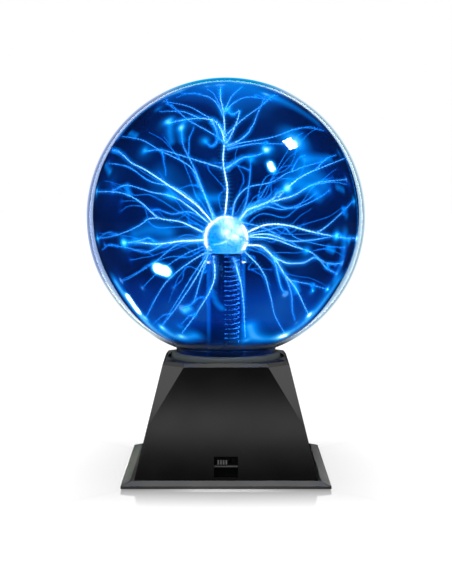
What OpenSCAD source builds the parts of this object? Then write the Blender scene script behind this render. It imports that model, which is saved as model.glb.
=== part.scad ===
// Plasma ball: a hollow glass globe on a flared black base, driven by a high-voltage board.
// Millimetres, +Z up, front towards -Y, origin on the floor under the globe's centre.

/* [Globe] */
// Outer diameter of the glass globe
globe_d = 203.2; // [196:0.1:210]
// Height of the globe's centre above the floor
globe_z = 186; // [184:0.5:190]
// Thickness of the globe's wall
glass_wall = 2; // [1.5:0.1:2.5]
// Outer radius of the globe's short neck
neck_r = 36.5; // [35.5:0.1:36.5]
// Height of the neck's lower rim
neck_z = 74; // [73:0.5:75]

/* [Stem and electrode] */
// Outer radius of the central glass stem
stem_r = 14.2; // [13.5:0.1:15]
// Thickness of the stem's wall
stem_wall = 1.5; // [1.2:0.1:1.6]
// Outer radius of the bulb at the top of the stem
bulb_r = 16.2; // [15.6:0.1:17.5]
// Height of the bulb's centre
bulb_z = 171; // [168:0.2:173]
// Height of the lower edge of the conductive coating
coating_z = 160.6; // [160.1:0.1:161.6]
// How far the spring stands to the right of the stem's axis
spring_x = 4.5; // [0:0.5:6]
// Radius of the spring to the middle of its wire
spring_r = 5.2; // [4:0.1:5.5]
// Radius of the spring's wire
spring_wire_r = 0.45; // [0.35:0.05:0.6]
// Distance between two turns of the spring
spring_pitch = 3.55; // [3:0.05:5]

/* [Base plate] */
// Side of the square base plate
plate_w = 146; // [144:1:150]
// Height of the plate's upright outer edge above the floor
plate_edge_z = 2.9; // [2.5:0.1:3.2]
// Height of the plate's inner ridge above the floor
plate_ridge_z = 5.4; // [5:0.1:6]
// Width of the sloping border
plate_border = 6.7; // [6:0.1:7]
// Height of the feet below the plate
foot_h = 1; // [0.8:0.1:1.5]

/* [Housing] */
// Width of the housing at its foot
body_w = 129.4; // [127:0.2:130]
// Width of the housing across its flat top
body_top_w = 89.8; // [89:0.2:92]
// Height of the housing's flat top
body_top_z = 84.5; // [84:0.5:85]
// Thickness of the housing's walls
body_wall = 2.5; // [2:0.1:3]
// Height of the bevel under the top's four straight edges
bevel_h = 2.5; // [1.5:0.1:3]
// How far the bevel moves those edges in
bevel_in = 1.3; // [0.8:0.1:1.5]
// How far each corner facet cuts the top's sides
corner_leg = 16.6; // [14:0.2:18]
// Height where a corner facet runs out
corner_foot_z = 39.6; // [36:0.2:44]

/* [Switch] */
// Width of the sliding knob
knob_w = 6.6; // [6:0.1:7]
// Height of the sliding knob
knob_h = 4; // [3.5:0.1:4]
// Full travel of the knob over its three positions
knob_travel = 5.2; // [4:0.1:5.4]
// Number of grip ribs on the knob
knob_ribs = 4; // [3:1:5]

/* [Power inlet] */
// Radius of the inlet's centre pin
pin_r = 1; // [0.9:0.05:1.25]
// Length of the inlet's centre pin
pin_l = 8.9; // [8:0.1:9]
// Inner radius of the inlet's barrel
barrel_r = 2.95; // [2.8:0.05:3.1]
// Height of the inlet's axis
inlet_z = 18; // [17:0.5:19]

/* [Hidden] */
$fn = 96;

eps = 0.01;
far = 300;
globe_r = globe_d / 2;
neck_inner_r = neck_r - glass_wall;
neck_join_z = globe_z - 0.9 * globe_r;

// The housing's walls lean in evenly from its foot to its top.
floor_z = 3;
plate_floor_z = foot_h;
body_lean = (body_w - body_top_w) / 2 / (body_top_z - floor_z);
lean_angle = atan(body_lean);
body_top_wall = 4.5;
function body_half(z) = body_top_w / 2 + (body_top_z - z) * body_lean;

// Each corner facet is a plane: its distance from the axis, along the diagonal.
corner_u_top = (body_top_w - corner_leg) / sqrt(2);
corner_u_foot = sqrt(2) * body_half(corner_foot_z);
corner_angle = atan((corner_u_foot - corner_u_top) / (body_top_z - corner_foot_z));

// The round seat in the housing's top, and the socket under it.
groove_r = 43;
groove_depth = 2.5;
top_hole_r = 38;
ceiling_z = body_top_z - body_top_wall;
collar_r = 40.1;
collar_top_z = 88;
gasket_r = 38.4;
socket_r = 41.5;
socket_flange = 2;
socket_z = neck_z - 4;
socket_screw_r = 47;

// The stem flares out to the neck's wall on a quarter ellipse.
flare_top_z = 94;
flare_z = neck_z + 2;
flare_r = neck_inner_r - 0.05;
flare_steps = 9;
plug_z = 86;
plug_top_z = 93;
contact_pin_r = 1.5;
wool_z = 159.1;
wool_gap = 1.5;

// The recess for the switch.
recess_half_w = 8.3;
recess_z = [7, 21];
recess_back_y = -58.3;
bezel_t = 1.5;
recess_frame = 1.5;
shelf_z = [13.6, 14.4];
knob_z = 17.1;
knob_rest_x = -knob_travel / 2;
knob_front_y = -60.4;
switch_board_y = -51.5;
switch_board_t = 1.4;
switch_post_x = 14;
switch_pins_x = [-4.5, -1.5, 1.5, 4.5];
can_half_w = 6.8;
can_half_h = 2.8;
can_wall = 0.4;

// The recess for the power inlet.
inlet_half = 9;
inlet_wall_y = [50, 52];
inlet_flange_t = 1.5;
inlet_r = 4;
inlet_back_y = 40;

// The circuit board on its posts.
board_z = 9;
board_t = 1.6;
board_size = [88, 64];
board_centre = [0, 2];
board_posts = [for (x = [-39, 39]) for (y = [-25, 29]) [x, y]];
part_z = board_z + board_t;
base_screw_xy = 50;
foot_xy = 59;
foot_r = 6;

// The heat sink, and the transistor's tab screwed to its face.
sink_x = [-40, -14];
sink_y = [19, 21];
tab_y = 17.7;
transistor_hole = [-27, 0, part_z + 18];

// The transformer stands along X.
core_centre = [20, 8, 24];
core_size = [28, 24, 8];
core_leg = 4;
core_middle = 8;
flange_t = 1.2;

// Routes of the internal wires, as points that a smooth curve passes through.
hv_route = [
    [17.8, 8, 34.6], [17.6, 7.6, 40], [14, 5.5, 52], [8, 2, 66],
    [spring_x, 0, 78], [spring_x, 0, 83], [spring_x, 0, 87.9]
];
inlet_routes = [for (s = [-1, 1]) [
    [s * 2.4, 37.4, inlet_z - 1.5], [s * 2.3, 35.4, 16.3], [s * 1.8, 33.2, 14.6], [s * 1.4, 31.1, 14]
]];
function switch_route(x) = [
    [x, -48.4, knob_z], [x * 0.9, -44, 16.2], [x * 0.75, -38, 13.6], [x, -32, 13.6],
    [x, -29.2, 14]
];

function unit(v) = v / norm(v);

// A point on the smooth curve through the points p, a share t past point i.
function on_curve(p, i, t) = let (
    a = p[max(i - 1, 0)],
    b = p[i],
    c = p[i + 1],
    d = p[min(i + 2, len(p) - 1)]
) 0.5 * (2 * b + (c - a) * t + (2 * a - 5 * b + 4 * c - d) * t * t
    + (3 * b - a - 3 * c + d) * t * t * t);

function smooth_route(p, steps) = concat(
    [for (i = [0:len(p) - 2]) for (s = [0:steps - 1]) on_curve(p, i, s / steps)],
    [p[len(p) - 1]]
);

// A closed skin over rings of equal point counts.
module skin(rings) {
    sides = len(rings[0]);
    last = (len(rings) - 1) * sides;
    polyhedron(
        points = [for (ring = rings) each ring],
        faces = concat(
            [[for (k = [0:sides - 1]) k]],
            [for (i = [0:len(rings) - 2]) for (k = [0:sides - 1])
                let (n = (k + 1) % sides, a = i * sides, b = a + sides)
                    [a + k, b + k, b + n, a + n]],
            [[for (k = [sides - 1:-1:0]) last + k]]
        )
    );
}

// A round tube along a route that never runs parallel to side.
module tube_along(route, r, sides, side) {
    last = len(route) - 1;
    skin([for (i = [0:last]) let (
        t = unit(route[min(i + 1, last)] - route[max(i - 1, 0)]),
        u = unit(cross(t, side)),
        v = cross(t, u)
    ) [for (k = [0:sides - 1]) route[i] + r * (cos(360 * k / sides) * u + sin(360 * k / sides) * v)]]);
}

module ring(r_out, r_in, z0, z1) {
    translate([0, 0, z0]) difference() {
        cylinder(r = r_out, h = z1 - z0);
        translate([0, 0, -1]) cylinder(r = r_in, h = z1 - z0 + 2);
    }
}

// A cylinder along +Y from y0 to y1.
module rod_y(r, y0, y1) {
    translate([0, y0, 0]) rotate([-90, 0, 0]) cylinder(r = r, h = y1 - y0);
}

// A block between two opposite corners.
module block(low, high) {
    translate(low) cube(high - low);
}

module at_corners(distance) {
    for (x = [-1, 1]) for (y = [-1, 1]) translate([x * distance, y * distance, 0]) children();
}

module at_diagonals(radius) {
    for (k = [0:3]) rotate([0, 0, 45 + 90 * k]) translate([radius, 0, 0]) children();
}

// A pan-head screw, tip up, with the underside of its head at z = 0.
module screw_up(head_r, head_h, shank_r, length) {
    translate([0, 0, -head_h]) difference() {
        cylinder(r = head_r, h = head_h);
        for (a = [0, 90]) rotate([0, 0, a]) translate([-head_r * 0.6, -0.35, -1])
            cube([head_r * 1.2, 0.7, 1 + head_h * 0.45]);
    }
    cylinder(r = shank_r, h = length);
}

// ---- globe ----

module globe_glass() {
    color([0.75, 0.86, 1, 0.3]) difference() {
        union() {
            translate([0, 0, globe_z]) sphere(r = globe_r);
            translate([0, 0, neck_z]) cylinder(r = neck_r, h = neck_join_z - neck_z);
        }
        translate([0, 0, globe_z]) sphere(r = globe_r - glass_wall);
        translate([0, 0, neck_z - 1]) cylinder(r = neck_inner_r, h = neck_join_z - neck_z + 2);
    }
}

// The quarter ellipse from the stem's wall (or its bore) out to the seal, walked from the top.
function flare_curve(r_top, z_low) = [for (i = [0:flare_steps]) let (a = 90 * i / flare_steps)
    [flare_r - (flare_r - r_top) * cos(a), flare_top_z - (flare_top_z - z_low) * sin(a)]];

module stem_tube() {
    inner_r = stem_r - stem_wall;
    color([0.75, 0.86, 1, 0.35]) {
        difference() {
            union() {
                translate([0, 0, flare_top_z - eps]) cylinder(r = stem_r, h = bulb_z - flare_top_z);
                translate([0, 0, bulb_z]) sphere(r = bulb_r);
            }
            translate([0, 0, flare_top_z - 1]) cylinder(r = inner_r, h = bulb_z - flare_top_z + 1);
            translate([0, 0, bulb_z]) sphere(r = bulb_r - stem_wall);
        }
        rotate_extrude() polygon(concat(
            flare_curve(stem_r, flare_z),
            [for (i = [flare_steps:-1:0]) flare_curve(inner_r, flare_z - stem_wall)[i]]
        ));
    }
}

module electrode_coating() {
    gap = 0.05;
    coat = 0.3;
    outer_r = stem_r - stem_wall - gap;
    dome_r = bulb_r - stem_wall - gap;
    color([0.55, 0.8, 1]) difference() {
        union() {
            translate([0, 0, coating_z]) cylinder(r = outer_r, h = bulb_z - coating_z);
            translate([0, 0, bulb_z]) sphere(r = dome_r);
        }
        translate([0, 0, coating_z - 1]) cylinder(r = outer_r - coat, h = bulb_z - coating_z + 1);
        translate([0, 0, bulb_z]) sphere(r = dome_r - coat);
        translate([0, 0, coating_z - 20]) cylinder(r = 20, h = 20);
    }
}

module electrode_wool() {
    color("silver") difference() {
        union() {
            translate([0, 0, wool_z]) cylinder(r = stem_r - stem_wall - wool_gap, h = bulb_z - wool_z);
            translate([0, 0, bulb_z]) sphere(r = bulb_r - stem_wall - wool_gap);
        }
        translate([0, 0, wool_z - 20]) cylinder(r = 20, h = 20);
    }
}

module hv_spring() {
    z0 = plug_top_z + 2;
    turns = (wool_z - spring_wire_r - 0.15 - z0) / spring_pitch;
    steps = 10;
    sides = 6;
    color("silver") skin([for (i = [0:floor(turns * steps)]) let (
        a = 360 * i / steps,
        out = [cos(a), sin(a), 0],
        centre = [spring_x, 0, z0 + spring_pitch * i / steps] + spring_r * out
    ) [for (k = [0:sides - 1]) centre
        + spring_wire_r * (cos(360 * k / sides) * out - sin(360 * k / sides) * [0, 0, -1])]]);
}

module hv_contact() {
    pin_z = plug_z + 2;
    color("goldenrod") translate([spring_x, 0, 0]) {
        translate([0, 0, plug_top_z]) cylinder(r = 6, h = 1.4);
        translate([0, 0, pin_z]) cylinder(r = contact_pin_r, h = plug_top_z - pin_z + eps);
    }
}

module stem_plug() {
    color("white") difference() {
        translate([0, 0, plug_z]) cylinder(r = stem_r - stem_wall - 0.15, h = plug_top_z - plug_z);
        translate([spring_x, 0, plug_z - 1]) cylinder(r = contact_pin_r + 0.1, h = plug_top_z - plug_z + 2);
    }
}

module hv_lead() {
    color("firebrick") tube_along(smooth_route(hv_route, 4), 1.4, 8, [0, 1, 0]);
}

// ---- collar and socket ----

module collar_ring() {
    seat_z = body_top_z - groove_depth;
    inner_r = neck_r + 0.1;
    round_r = collar_r - inner_r - 0.5;
    steps = 8;
    color([0.3, 0.32, 0.32]) rotate_extrude() polygon(concat(
        [[inner_r, seat_z], [collar_r, seat_z], [collar_r, collar_top_z - round_r]],
        [for (i = [1:steps]) let (a = 90 * i / steps)
            [collar_r - round_r + round_r * cos(a), collar_top_z - round_r + round_r * sin(a)]],
        [[inner_r, collar_top_z]]
    ));
}

module neck_gasket() {
    color([0.12, 0.12, 0.12]) {
        ring(gasket_r, neck_r + 0.05, neck_z - eps, ceiling_z);
        ring(gasket_r, 33, neck_z - 2, neck_z);
    }
}

module globe_socket() {
    color([0.18, 0.18, 0.2]) difference() {
        union() {
            ring(socket_r, gasket_r + 0.05, socket_z + socket_flange - eps, ceiling_z);
            ring(socket_r, 31, socket_z, socket_z + socket_flange);
            at_diagonals(0) difference() {
                union() {
                    translate([socket_screw_r, 0, socket_z]) cylinder(r = 4, h = 3);
                    translate([socket_r - 2, -4, socket_z]) cube([socket_screw_r - socket_r + 2, 8, 3]);
                }
                translate([0, 0, socket_z - 1]) cylinder(r = socket_r - 1, h = 5);
            }
        }
        at_diagonals(socket_screw_r) translate([0, 0, socket_z - 1]) cylinder(r = 1.6, h = 5);
    }
}

module socket_screws() {
    color("silver") at_diagonals(socket_screw_r)
        translate([0, 0, socket_z]) screw_up(2.8, 2, 1.25, 10);
}

// ---- housing ----

// The flared outline moved in by t, from z0 to z1, with its top edges cut back by bevel.
module body_solid(t, z0, z1, bevel) {
    inset = t / cos(lean_angle);
    corner_inset = t / cos(corner_angle);
    half = [[body_half(z0) - inset, z0], [body_half(z1 - bevel_h) - inset, z1 - bevel_h],
        [body_half(z1) - inset - bevel, z1]];
    side = concat(half, [for (i = [2:-1:0]) [-half[i][0], half[i][1]]]);
    difference() {
        intersection() {
            rotate([90, 0, 0]) linear_extrude(height = far, center = true) polygon(side);
            rotate([90, 0, 90]) linear_extrude(height = far, center = true) polygon(side);
        }
        at_diagonals(corner_u_top - corner_inset) translate([0, 0, body_top_z])
            rotate([0, -corner_angle, 0]) translate([0, -far / 2, -far / 2]) cube([far, far, far]);
    }
}

module switch_recess_frame() {
    block(
        [-recess_half_w - recess_frame, -far / 2, recess_z[0] - recess_frame],
        [recess_half_w + recess_frame, recess_back_y + 3, recess_z[1] + recess_frame]
    );
}

module inlet_recess_frame() {
    block(
        [-inlet_half - 1.5, inlet_wall_y[0], inlet_z - inlet_half - 1.5],
        [inlet_half + 1.5, far / 2, inlet_z + inlet_half + 1.5]
    );
}

module housing() {
    color([0.13, 0.13, 0.13]) difference() {
        union() {
            difference() {
                body_solid(0, floor_z, body_top_z, bevel_in);
                body_solid(body_wall, floor_z - 1, ceiling_z, 0);
            }
            intersection() {
                body_solid(0.5, floor_z, body_top_z, bevel_in);
                union() {
                    switch_recess_frame();
                    inlet_recess_frame();
                    at_corners(base_screw_xy) translate([0, 0, floor_z + 3]) cylinder(r = 4, h = 38);
                    at_diagonals(socket_screw_r) translate([0, 0, socket_z + 3]) cylinder(r = 4, h = 8);
                    for (x = [-switch_post_x, switch_post_x]) translate([x, 0, knob_z])
                        rod_y(2.6, -60, switch_board_y);
                }
            }
        }
        // Seat and hole for the globe's neck.
        translate([0, 0, body_top_z - groove_depth]) cylinder(r = groove_r, h = groove_depth + 1);
        translate([0, 0, ceiling_z - 1]) cylinder(r = top_hole_r, h = body_top_wall + 2);
        // Switch recess, and the smaller opening behind its bezel.
        block([-recess_half_w, -far / 2, recess_z[0]], [recess_half_w, recess_back_y + bezel_t, recess_z[1]]);
        block([-7, -far / 2, recess_z[0] + 1], [7, recess_back_y + 4, recess_z[1] - 1]);
        // Inlet recess and its panel hole.
        block(
            [-inlet_half, inlet_wall_y[1], inlet_z - inlet_half],
            [inlet_half, far / 2, inlet_z + inlet_half]
        );
        translate([0, 0, inlet_z]) rod_y(inlet_r + 0.1, inlet_wall_y[0] - 1, inlet_wall_y[1] + 1);
        // Pilot holes.
        at_corners(base_screw_xy) translate([0, 0, floor_z]) cylinder(r = 1.3, h = 17);
        at_diagonals(socket_screw_r) translate([0, 0, socket_z]) cylinder(r = 1.3, h = 12);
        for (x = [-switch_post_x, switch_post_x]) translate([x, 0, knob_z])
            rod_y(0.9, switch_board_y - 5.5, switch_board_y + 1);
    }
}

// ---- base plate ----

module plate_outline() {
    half = plate_w / 2;
    ridge = half - plate_border;
    side = [
        [-half, plate_floor_z], [half, plate_floor_z], [half, plate_edge_z],
        [ridge, plate_ridge_z], [-ridge, plate_ridge_z], [-half, plate_edge_z]
    ];
    intersection() {
        rotate([90, 0, 0]) linear_extrude(height = plate_w, center = true) polygon(side);
        rotate([90, 0, 90]) linear_extrude(height = plate_w, center = true) polygon(side);
    }
}

module base_plate() {
    tray = plate_w / 2 - plate_border;
    vents = 7;
    color([0.16, 0.16, 0.16]) difference() {
        union() {
            difference() {
                plate_outline();
                block([-tray, -tray, floor_z], [tray, tray, 20]);
            }
            at_corners(base_screw_xy) translate([0, 0, floor_z - 1]) cylinder(r = 5, h = 4);
            for (p = board_posts) translate([p[0], p[1], floor_z - 1]) cylinder(r = 3.2, h = board_z - floor_z + 1);
        }
        at_corners(base_screw_xy) {
            cylinder(r = 1.6, h = 10);
            cylinder(r = 3.3, h = plate_floor_z + 2.2);
        }
        at_corners(foot_xy) cylinder(r = foot_r + 0.1, h = plate_floor_z + 0.8);
        for (p = board_posts) translate([p[0], p[1], floor_z + 1]) cylinder(r = 1.15, h = board_z);
        for (k = [0:vents - 1]) translate([(k - (vents - 1) / 2) * 7 - 1.25, -18, 0]) cube([2.5, 36, 10]);
    }
}

module base_screws() {
    color("silver") at_corners(base_screw_xy)
        translate([0, 0, plate_floor_z + 2.2]) screw_up(3, 1.6, 1.25, 13);
}

module rubber_feet() {
    color([0.08, 0.08, 0.08]) at_corners(foot_xy) cylinder(r = foot_r, h = plate_floor_z + 0.8);
}

// ---- switch ----

module switch_bezel() {
    gap = 0.05;
    half = recess_half_w - gap;
    slot_half_w = (knob_w + knob_travel) / 2 + 0.4;
    slot_half_h = knob_h / 2 + 0.2;
    color([0.05, 0.05, 0.05]) difference() {
        union() {
            block(
                [-half, recess_back_y, recess_z[0] + gap],
                [half, recess_back_y + bezel_t, recess_z[1] - gap]
            );
            block([-half, -body_half(shelf_z[1]) + 0.3, shelf_z[0]], [half, recess_back_y + eps, shelf_z[1]]);
        }
        block(
            [-slot_half_w, recess_back_y - 1, knob_z - slot_half_h],
            [slot_half_w, recess_back_y + bezel_t + 1, knob_z + slot_half_h]
        );
    }
}

module legend_plate() {
    color([0.02, 0.02, 0.02])
        block([-7.7, recess_back_y - 0.8, recess_z[0] + 0.5], [7.7, recess_back_y, shelf_z[0] - 0.5]);
}

module switch_can() {
    y0 = recess_back_y + bezel_t;
    color("silver") difference() {
        block(
            [-can_half_w, y0, knob_z - can_half_h],
            [can_half_w, switch_board_y, knob_z + can_half_h]
        );
        block(
            [-can_half_w + can_wall, y0 + can_wall, knob_z - can_half_h + can_wall],
            [can_half_w - can_wall, switch_board_y + 1, knob_z + can_half_h - can_wall]
        );
        block([-4.4, y0 - 1, knob_z - 1.2], [4.4, y0 + 1, knob_z + 1.2]);
    }
}

module switch_knob() {
    y_head = recess_back_y + bezel_t;
    y_slider = y_head + can_wall + 0.15;
    rib_w = knob_w / (2 * knob_ribs - 1);
    color([0.09, 0.09, 0.09]) translate([knob_rest_x, 0, knob_z]) {
        block([-knob_w / 2, knob_front_y + 0.7, -knob_h / 2], [knob_w / 2, y_head - 0.1, knob_h / 2]);
        for (k = [0:knob_ribs - 1]) translate([-knob_w / 2 + 2 * k * rib_w, 0, 0])
            block([0, knob_front_y, -knob_h / 2 + 0.4], [rib_w, knob_front_y + 0.7 + eps, knob_h / 2 - 0.4]);
        block([-1.4, y_head - 0.1 - eps, -1], [1.4, y_slider + eps, 1]);
        block([-2.4, y_slider, -2.2], [2.4, y_slider + 1.9, 2.2]);
    }
}

module switch_contact() {
    y0 = recess_back_y + bezel_t + can_wall + 0.15 + 1.9;
    color("goldenrod") translate([knob_rest_x, 0, knob_z]) block([-1.9, y0, -1.4], [1.9, y0 + 0.5, 1.4]);
}

module switch_wafer() {
    half_w = can_half_w - can_wall - 0.05;
    half_h = can_half_h - can_wall - 0.05;
    color("peru") difference() {
        block([-half_w, switch_board_y - 1.2, knob_z - half_h], [half_w, switch_board_y, knob_z + half_h]);
        for (x = switch_pins_x) translate([x, 0, knob_z]) rod_y(0.5, switch_board_y - 2, switch_board_y + 1);
    }
}

module switch_terminals() {
    color("gold") for (x = switch_pins_x) translate([x, 0, knob_z]) {
        rod_y(0.45, switch_board_y - 1.3, -48.5);
        rod_y(0.9, switch_board_y - 1.5, switch_board_y - 1.2);
    }
}

module switch_board() {
    color("darkgreen") difference() {
        block([-17, switch_board_y, 11], [17, switch_board_y + switch_board_t, 23]);
        for (x = switch_pins_x) translate([x, 0, knob_z]) rod_y(0.55, switch_board_y - 1, switch_board_y + 3);
        for (x = [-switch_post_x, switch_post_x]) translate([x, 0, knob_z])
            rod_y(1.3, switch_board_y - 1, switch_board_y + 3);
    }
}

module switch_board_screws() {
    color("silver") for (x = [-switch_post_x, switch_post_x])
        translate([x, switch_board_y + switch_board_t, knob_z]) rotate([90, 0, 0]) screw_up(2, 1.4, 0.85, 6);
}

module switch_wires() {
    color("gray") for (x = switch_pins_x)
        tube_along(smooth_route(switch_route(x), 3), 0.6, 6, [1, 0, 0]);
}

// ---- power inlet ----

module inlet_body() {
    front_y = inlet_wall_y[1] + inlet_flange_t;
    color([0.1, 0.1, 0.1]) translate([0, 0, inlet_z]) difference() {
        union() {
            rod_y(5.5, inlet_wall_y[1], front_y);
            rod_y(inlet_r, inlet_back_y, front_y - 0.1);
        }
        rod_y(barrel_r, front_y - pin_l - 0.6, front_y + 1);
        rod_y(1.42, inlet_back_y - 1, front_y);
    }
}

module inlet_pin() {
    root_y = inlet_wall_y[1] + inlet_flange_t - pin_l - 0.6;
    color("silver") translate([0, 0, inlet_z]) {
        rod_y(pin_r, root_y, root_y + pin_l);
        rod_y(1.4, inlet_back_y - 1, root_y);
    }
}

module inlet_nut() {
    color("silver") translate([0, inlet_wall_y[0] - 2.5, inlet_z]) rotate([-90, 0, 0]) difference() {
        cylinder(r = 6.4, h = 2.5, $fn = 6);
        translate([0, 0, -1]) cylinder(r = inlet_r + 0.05, h = 5);
    }
}

module inlet_lugs() {
    color("gold") for (s = [-1, 1]) translate([s * 2.4, 0, inlet_z - 1.5])
        block([-0.7, inlet_back_y - 2.5, -0.3], [0.7, inlet_back_y, 0.3]);
}

module inlet_wires() {
    color("crimson") for (route = inlet_routes) tube_along(smooth_route(route, 4), 0.7, 6, [0, 0, 1]);
}

// ---- circuit board ----

module circuit_board() {
    color("darkgreen") difference() {
        translate([board_centre[0], board_centre[1], board_z + board_t / 2])
            cube([board_size[0], board_size[1], board_t], center = true);
        for (p = board_posts) translate([p[0], p[1], board_z - 1]) cylinder(r = 1.5, h = 5);
    }
}

module board_screws() {
    color("silver") for (p = board_posts) translate([p[0], p[1], part_z])
        rotate([180, 0, 0]) screw_up(2.5, 1.8, 1.1, 6);
}

// The core's middle leg, grown by gap on every side, along X.
module core_tube(length, gap) {
    translate(core_centre) cube([length, core_middle + 2 * gap, core_size[2] + 2 * gap], center = true);
}

module transformer_core() {
    window = (core_size[1] - core_middle) / 2 - core_leg;
    color([0.2, 0.2, 0.22]) translate(core_centre) difference() {
        cube(core_size, center = true);
        for (s = [-1, 1]) translate([0, s * (core_middle + window) / 2, 0])
            cube([core_size[0] - 2 * core_leg, window, core_size[2] + 2], center = true);
    }
}

bobbin_l = core_size[0] - 2 * core_leg - 0.4;
module transformer_bobbin() {
    cheek = [flange_t, core_size[1] - 2 * core_leg - 0.4];
    color([0.85, 0.83, 0.75]) difference() {
        union() {
            core_tube(bobbin_l, 0.9);
            for (s = [-1, 1]) {
                x = core_centre[0] + s * (bobbin_l - flange_t) / 2;
                block(
                    [x - cheek[0] / 2, core_centre[1] - cheek[1] / 2, part_z],
                    [x + cheek[0] / 2, core_centre[1] + cheek[1] / 2, 36]
                );
            }
        }
        core_tube(bobbin_l + 2, 0.1);
    }
}

// A winding on the bobbin's tube, from x0 to x1 and out to radius r.
module winding(x0, x1, r) {
    difference() {
        intersection() {
            translate([x0, core_centre[1], core_centre[2]]) rotate([0, 90, 0]) cylinder(r = r, h = x1 - x0);
            block([x0, core_centre[1] - 7.6, core_centre[2] - 20], [x1, core_centre[1] + 7.6, core_centre[2] + 20]);
        }
        core_tube(100, 0.95);
    }
}

module secondary_winding() {
    color([0.5, 0.12, 0.1]) winding(11.6, 23.6, 10.4);
}

module primary_winding() {
    color([0.8, 0.45, 0.2]) winding(24.2, 28.4, 9);
}

module heat_sink() {
    fins = 6;
    fin_t = 1.6;
    fin_pitch = 4.88;
    top_z = part_z + 28;
    color([0.75, 0.76, 0.78]) difference() {
        union() {
            block([sink_x[0], sink_y[0], part_z], [sink_x[1], sink_y[1], top_z]);
            for (k = [0:fins - 1]) let (x = sink_x[0] + k * fin_pitch)
                block([x, sink_y[1] - eps, part_z], [x + fin_t, 29, top_z]);
        }
        translate(transistor_hole) rod_y(1.45, 15, 25);
        // Room for the head of the board's screw.
        translate([board_posts[1][0], board_posts[1][1], part_z - 1]) cylinder(r = 3.2, h = 4);
    }
}

module power_transistor() {
    color([0.1, 0.1, 0.1]) difference() {
        union() {
            block([-32, 14.6, part_z + 4], [-22, sink_y[0], part_z + 13]);
            block([-32, tab_y, part_z + 12.9], [-22, sink_y[0], part_z + 21]);
            for (x = [-29.5, -27, -24.5]) block([x - 0.4, 16.4, part_z], [x + 0.4, 17, part_z + 4.1]);
        }
        translate(transistor_hole) rod_y(1.6, 10, 25);
    }
}

module transistor_screw() {
    color("silver") translate(transistor_hole + [0, tab_y, 0]) rotate([-90, 0, 0])
        screw_up(2.7, 1.8, 1.4, 5.5);
}

module electrolytic_capacitors() {
    cans = [[-22, -8, 5, 13], [-34, -8, 4, 11], [-34, -19, 3.2, 8]];
    color([0.1, 0.14, 0.3]) for (c = cans) translate([c[0], c[1], part_z]) difference() {
        cylinder(r = c[2], h = c[3]);
        for (a = [0, 90]) rotate([0, 0, a]) translate([-c[2] * 0.7, -0.2, c[3] - 0.4])
            cube([c[2] * 1.4, 0.4, 1]);
    }
}

module film_capacitor() {
    color([0.75, 0.2, 0.12]) block([-10, -18, part_z], [3, -12, part_z + 9]);
}

module driver_chip() {
    color([0.1, 0.1, 0.1]) {
        block([8, -20, part_z + 0.8], [17.4, -13.6, part_z + 4]);
        for (k = [0:3]) for (y = [-20.6, -13.7]) block(
            [8.7 + k * 2.54, y, part_z], [9.2 + k * 2.54, y + 0.7, part_z + 2]
        );
    }
}

module resistors() {
    color([0.8, 0.68, 0.45]) for (k = [0:4]) translate([-9 + k * 3.6, -4, part_z + 1.4]) {
        rod_y(1.15, 0, 6.4);
        for (y = [-1, 7.4]) translate([0, y, -1.4]) cylinder(r = 0.3, h = 1.7, $fn = 16);
        rod_y(0.3, -1, 7.4);
    }
}

module microphone() {
    color([0.6, 0.62, 0.65]) translate([32, -17, part_z]) difference() {
        cylinder(r = 4.85, h = 6.5);
        translate([0, 0, 6]) cylinder(r = 2, h = 1);
    }
}

module wire_headers() {
    color("ivory") {
        block([-7, -29, part_z], [7, -24, part_z + 6]);
        block([-4.5, 26, part_z], [4.5, 31, part_z + 6]);
    }
}

globe_glass();
stem_tube();
electrode_coating();
electrode_wool();
hv_spring();
hv_contact();
stem_plug();
hv_lead();
collar_ring();
neck_gasket();
globe_socket();
socket_screws();
housing();
base_plate();
base_screws();
rubber_feet();
switch_bezel();
legend_plate();
switch_can();
switch_knob();
switch_contact();
switch_wafer();
switch_terminals();
switch_board();
switch_board_screws();
switch_wires();
inlet_body();
inlet_pin();
inlet_nut();
inlet_lugs();
inlet_wires();
circuit_board();
board_screws();
transformer_core();
transformer_bobbin();
secondary_winding();
primary_winding();
heat_sink();
power_transistor();
transistor_screw();
electrolytic_capacitors();
film_capacitor();
driver_chip();
resistors();
microphone();
wire_headers();
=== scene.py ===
"""Looks of a plasma ball: a glass globe full of light filaments on a flared black base.

Everything is in metres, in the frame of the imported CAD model.
"""

import math
import random

import bmesh
import bpy
import numpy as np
from mathutils import Matrix, Vector


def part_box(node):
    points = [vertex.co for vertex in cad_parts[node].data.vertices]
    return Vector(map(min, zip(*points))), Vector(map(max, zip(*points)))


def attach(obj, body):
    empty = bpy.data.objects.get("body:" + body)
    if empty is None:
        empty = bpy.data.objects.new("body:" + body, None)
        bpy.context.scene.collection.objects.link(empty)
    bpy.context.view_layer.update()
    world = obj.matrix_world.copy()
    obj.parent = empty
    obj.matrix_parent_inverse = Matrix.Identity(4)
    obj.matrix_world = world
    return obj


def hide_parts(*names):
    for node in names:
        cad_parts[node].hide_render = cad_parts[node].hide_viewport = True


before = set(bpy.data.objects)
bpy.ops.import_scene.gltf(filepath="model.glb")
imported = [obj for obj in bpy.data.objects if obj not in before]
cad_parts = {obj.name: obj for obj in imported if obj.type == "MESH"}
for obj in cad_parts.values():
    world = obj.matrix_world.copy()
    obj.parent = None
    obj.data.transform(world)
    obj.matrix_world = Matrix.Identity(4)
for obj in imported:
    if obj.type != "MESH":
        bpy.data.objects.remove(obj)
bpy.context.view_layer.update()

MM = 0.001
STAND = "stand"

# ---- driving sizes ----

GLOBE_LOW, GLOBE_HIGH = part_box("globe_glass")
GLOBE_R = 101.6 * MM
GLASS_WALL = 2 * MM
GLASS_IOR = 1.46
GLOBE_C = Vector((0, 0, GLOBE_HIGH.z - GLOBE_R))
NECK_R = 36.5 * MM

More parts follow.
